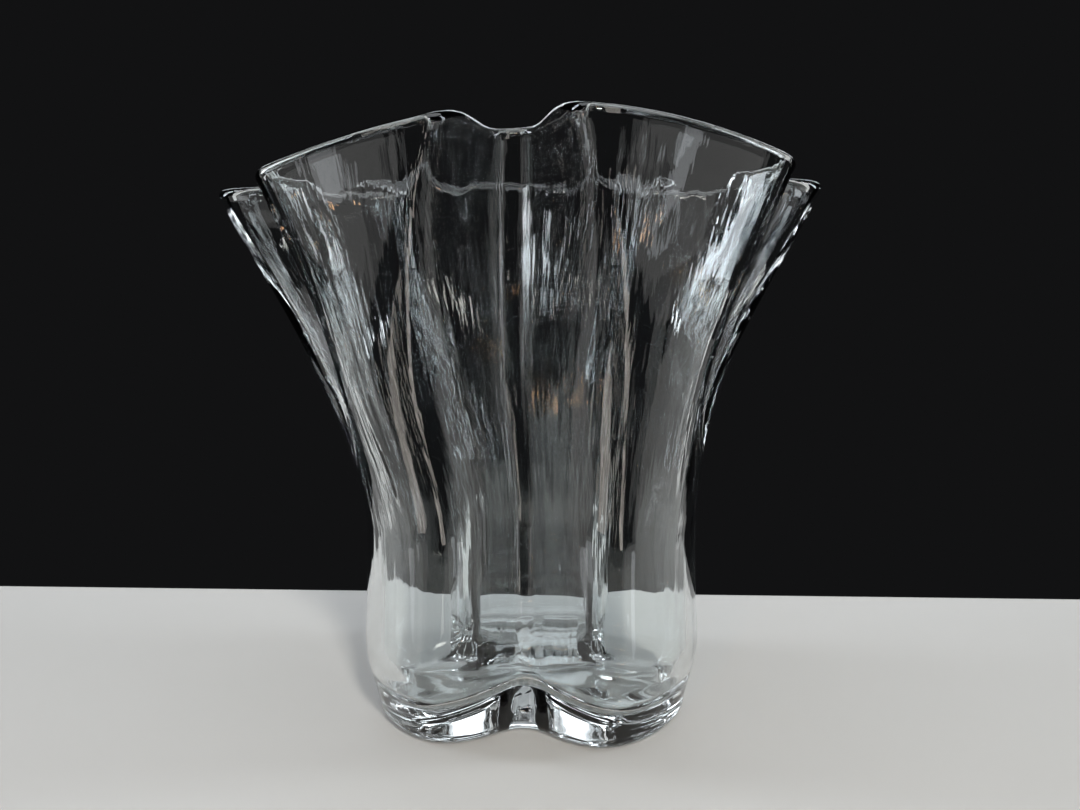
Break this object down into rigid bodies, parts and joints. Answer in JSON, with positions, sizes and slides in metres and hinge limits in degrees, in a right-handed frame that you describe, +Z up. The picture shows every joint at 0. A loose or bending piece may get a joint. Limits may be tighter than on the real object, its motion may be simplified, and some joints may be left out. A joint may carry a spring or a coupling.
{
  "type": "handkerchief vase",
  "caption": "Clear thick-walled glass flower vase with a lobed foot that flares into a folded, pleated handkerchief rim.",
  "frame": {"origin": "middle of the flat underside of the foot, on the table", "axes": "+Z up; -Y is the front, where the front fold opens; +X to the right seen from the front"},
  "size_m": [0.1931, 0.1671, 0.2019],
  "materials": {
    "clear_glass": "clear, fire-polished, faintly rippled inside"
  },
  "bodies": {
    "root": {"vase": "clear_glass"}
  },
  "joints": []
}
